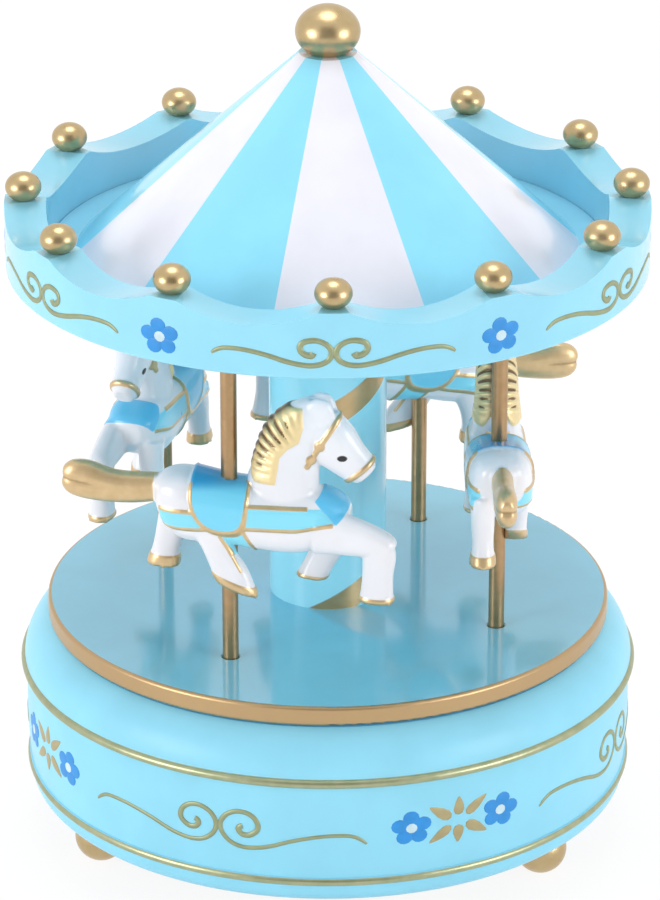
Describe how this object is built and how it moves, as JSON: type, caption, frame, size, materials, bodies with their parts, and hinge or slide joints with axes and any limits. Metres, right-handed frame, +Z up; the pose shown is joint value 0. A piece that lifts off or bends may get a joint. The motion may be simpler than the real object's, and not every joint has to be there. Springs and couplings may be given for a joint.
{
  "type": "carousel music box",
  "caption": "Wind-up carousel music box in light blue lacquer: prancing white horses on gold poles under a striped cone roof with a scalloped rim, on a round base with ball feet.",
  "frame": {"origin": "on the table, under the middle of the round base", "axes": "+Z up along the turning axis, -Y is the side that faces the viewer in the picture, +X to the viewer's right"},
  "size_m": [0.1206, 0.1206, 0.1646],
  "materials": {
    "blue_lacquer": "painted light blue, glossy lacquer",
    "gold_paint": "satin gold paint",
    "gold_metal": "satin gold rod",
    "roof_lacquer": "glossy white with light blue sectors",
    "bare_wood": "unpainted turned wood",
    "steel": "plain steel",
    "zinc": "die cast, satin",
    "brass": "plain brass",
    "fan_plastic": "dark plastic",
    "horse_white": "glossy white, painted harness"
  },
  "bodies": {
    "base": {"base_shell": "blue_lacquer", "bottom_cover": "bare_wood", "ball_feet": "gold_paint", "cover_screws": "steel", "bedplate": "zinc", "bedplate_screws": "steel", "comb": "steel", "comb_screws": "steel", "governor_bracket": "zinc", "bearing_plate": "bare_wood", "bearing_plate_screws": "steel", "spindle_bush": "brass"},
    "carousel": {"spring_barrel": "zinc", "crown_wheel": "brass", "mainspring": "steel", "spindle": "steel", "thrust_washer": "steel", "deck_hub": "bare_wood", "deck": "blue_lacquer", "column_foot": "bare_wood", "column": "blue_lacquer", "column_head": "bare_wood", "tie_rod": "steel", "ceiling": "blue_lacquer", "canopy_rim": "blue_lacquer", "rim_balls": "gold_paint", "roof": "roof_lacquer", "finial": "gold_paint"},
    "winder": {"winding_arbor": "steel", "winding_key": "brass"},
    "cylinder": {"music_cylinder": "brass"},
    "governor_train": {"governor_wheel": "brass"},
    "fan": {"governor_fan": "fan_plastic"},
    "rider_front": {"pole_front": "gold_metal", "horse_front": "horse_white", "tail_front": "gold_paint"},
    "rider_right": {"pole_right": "gold_metal", "horse_right": "horse_white", "tail_right": "gold_paint"},
    "rider_back": {"pole_back": "gold_metal", "horse_back": "horse_white", "tail_back": "gold_paint"},
    "rider_left": {"pole_left": "gold_metal", "horse_left": "horse_white", "tail_left": "gold_paint"}
  },
  "joints": [
    {"name": "carousel_spin", "type": "hinge", "parent": "base", "child": "carousel", "pos_m": [0, 0, 0], "axis": [0, 0, 1], "continuous": true},
    {"name": "key_wind", "type": "hinge", "parent": "base", "child": "winder", "pos_m": [0, 0, 0], "axis": [0, 0, -1], "continuous": true},
    {"name": "cylinder_spin", "type": "hinge", "parent": "base", "child": "cylinder", "pos_m": [0, 0, 0.027], "axis": [1, 0, 0], "continuous": true},
    {"name": "governor_wheel_spin", "type": "hinge", "parent": "base", "child": "governor_train", "pos_m": [0, -0.0073, 0.027], "axis": [1, 0, 0], "continuous": true},
    {"name": "governor_fan_spin", "type": "hinge", "parent": "base", "child": "fan", "pos_m": [0.03248, -0.01289, 0], "axis": [0, 0, 1], "continuous": true},
    {"name": "swivel_front", "type": "hinge", "parent": "carousel", "child": "rider_front", "pos_m": [-0.01813, -0.03191, 0.0477], "axis": [0, 0, 1], "range_deg": [-22, 23]},
    {"name": "swivel_right", "type": "hinge", "parent": "carousel", "child": "rider_right", "pos_m": [0.03191, -0.01813, 0.0477], "axis": [0, 0, 1], "range_deg": [-30.5, 14.5]},
    {"name": "swivel_back", "type": "hinge", "parent": "carousel", "child": "rider_back", "pos_m": [0.01813, 0.03191, 0.0477], "axis": [0, 0, 1], "range_deg": [-38, 7]},
    {"name": "swivel_left", "type": "hinge", "parent": "carousel", "child": "rider_left", "pos_m": [-0.03191, 0.01813, 0.0477], "axis": [0, 0, 1], "range_deg": [-14, 31]}
  ],
  "couplings": [
    {"joint": "cylinder_spin", "follows": "carousel_spin", "ratio": 4},
    {"joint": "governor_wheel_spin", "follows": "carousel_spin", "ratio": -14},
    {"joint": "governor_fan_spin", "follows": "carousel_spin", "ratio": -280}
  ]
}
